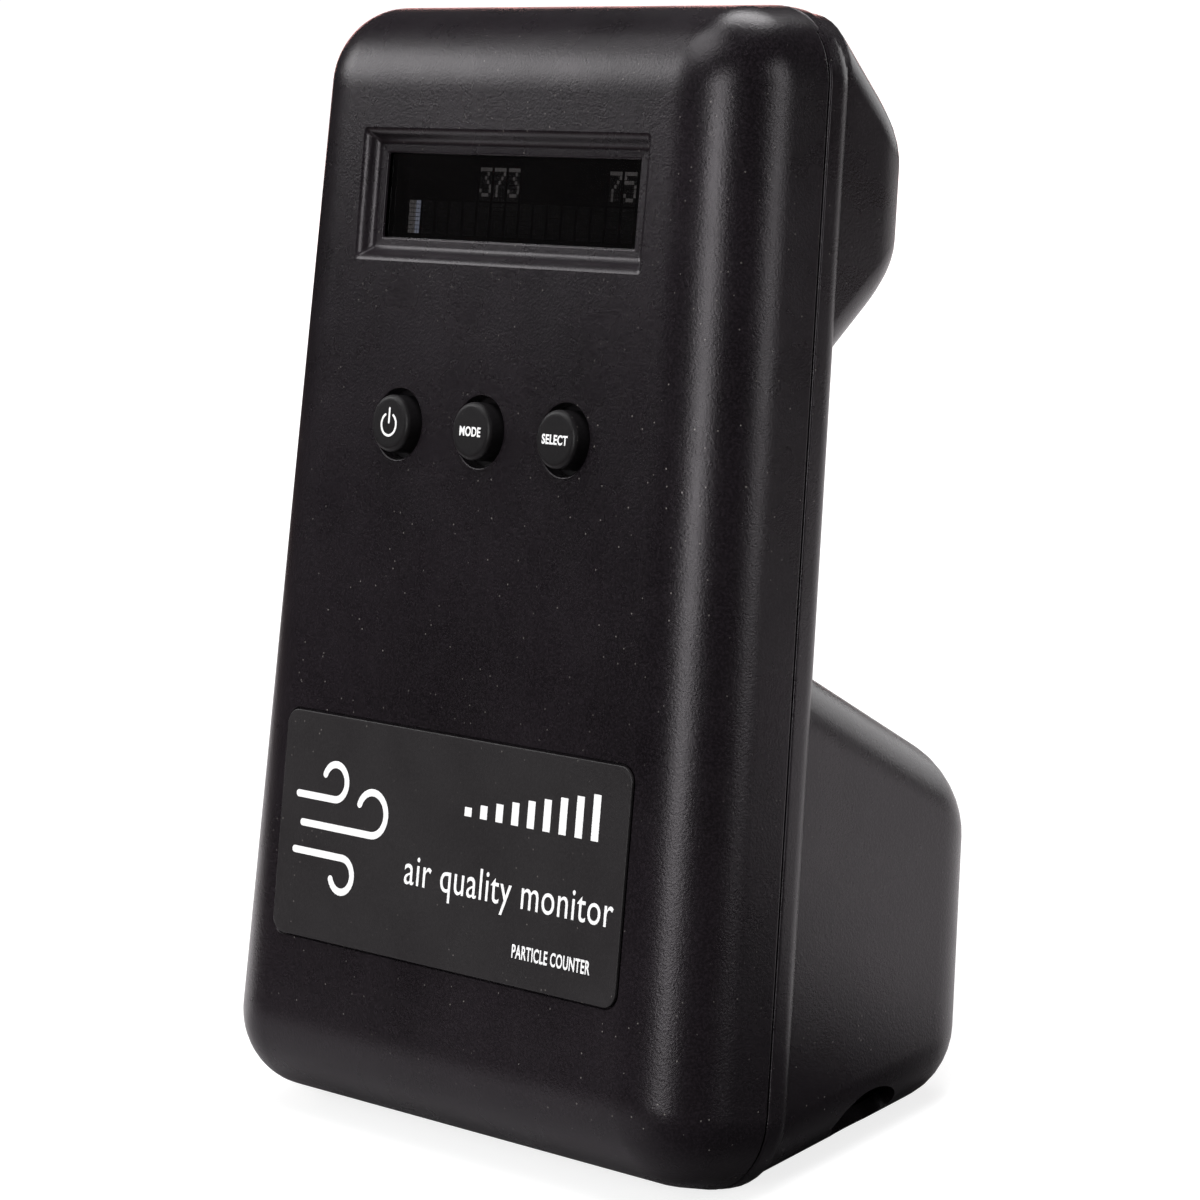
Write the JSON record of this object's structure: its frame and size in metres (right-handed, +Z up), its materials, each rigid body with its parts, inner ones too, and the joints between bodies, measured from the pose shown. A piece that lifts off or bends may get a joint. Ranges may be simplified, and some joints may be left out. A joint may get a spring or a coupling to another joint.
{
  "type": "air quality monitor",
  "caption": "Desk-top particle counter: a leaning two-shell case with a character display, push buttons, a name plate and two rear bulges that hold a light-scatter sensor and a fan.",
  "frame": {"origin": "middle of the sloped underside that the case stands on", "axes": "+Z up from the surface it stands on, +Y from the face to the back, +X to the right as seen from the front; the face leans back 16.5 degrees about X"},
  "size_m": [0.1128, 0.0804, 0.1731],
  "materials": {
    "case_plastic": "fine spark-eroded texture, matte black",
    "button_plastic": "smooth satin black with white legends",
    "plate_film": "speckled dark grey film with white print",
    "window_pane": "clear smoked acrylic",
    "inner_plastic": "matte black moulding",
    "circuit_board": "green solder mask",
    "chip_black": "black epoxy",
    "steel": "zinc plated",
    "aluminium": "satin",
    "brass": "turned",
    "nylon_white": "natural nylon",
    "lcd_glass_grey": "dark polarised glass",
    "lens_glass": "clear",
    "lead_insulation": "smooth sleeve"
  },
  "bodies": {
    "case": {"front_shell": "case_plastic", "rear_shell": "case_plastic", "name_plate": "plate_film", "display_window": "window_pane", "power_switch": "chip_black", "mode_switch": "chip_black", "select_switch": "chip_black", "lcd_frame": "steel", "lcd_glass": "lcd_glass_grey", "lcd_board": "circuit_board", "lcd_header": "chip_black", "main_board": "circuit_board", "microcontroller": "chip_black", "crystal": "steel", "voltage_regulator": "chip_black", "capacitor_1": "aluminium", "capacitor_2": "aluminium", "fan_connector": "nylon_white", "laser_connector": "nylon_white", "detector_connector": "nylon_white", "power_connector": "nylon_white", "sensor_chamber": "inner_plastic", "chamber_lid": "inner_plastic", "laser_module": "brass", "laser_lens": "lens_glass", "light_trap": "inner_plastic", "photodiode": "lens_glass", "photodiode_board": "circuit_board", "fan_frame": "inner_plastic", "dc_jack": "chip_black", "case_screw_1": "steel", "case_screw_2": "steel", "case_screw_3": "steel", "case_screw_4": "steel", "board_screw_1": "steel", "board_screw_2": "steel", "board_screw_3": "steel", "board_screw_4": "steel", "display_screw_1": "steel", "display_screw_2": "steel", "display_screw_3": "steel", "display_screw_4": "steel", "fan_screw_1": "steel", "fan_screw_2": "steel", "fan_screw_3": "steel", "fan_screw_4": "steel", "fan_lead": "lead_insulation", "laser_lead": "lead_insulation", "detector_lead": "lead_insulation", "power_lead": "lead_insulation"},
    "power_key": {"power_button": "button_plastic", "power_switch_plunger": "chip_black"},
    "mode_key": {"mode_button": "button_plastic", "mode_switch_plunger": "chip_black"},
    "select_key": {"select_button": "button_plastic", "select_switch_plunger": "chip_black"},
    "rotor": {"fan_rotor": "inner_plastic", "fan_shaft": "steel"}
  },
  "joints": [
    {"name": "power_press", "type": "slide", "parent": "case", "child": "power_key", "axis": [0, 0.9588, -0.284], "range_m": [0, 0.0005], "stiffness_N_per_m": 1500, "springref_m": -0.0005},
    {"name": "mode_press", "type": "slide", "parent": "case", "child": "mode_key", "axis": [0, 0.9588, -0.284], "range_m": [0, 0.0005], "stiffness_N_per_m": 1500, "springref_m": -0.0005},
    {"name": "select_press", "type": "slide", "parent": "case", "child": "select_key", "axis": [0, 0.9588, -0.284], "range_m": [0, 0.0005], "stiffness_N_per_m": 1500, "springref_m": -0.0005},
    {"name": "fan_spin", "type": "hinge", "parent": "case", "child": "rotor", "pos_m": [0, 0.02008, 0.02643], "axis": [0, 0.9588, -0.284], "continuous": true}
  ]
}
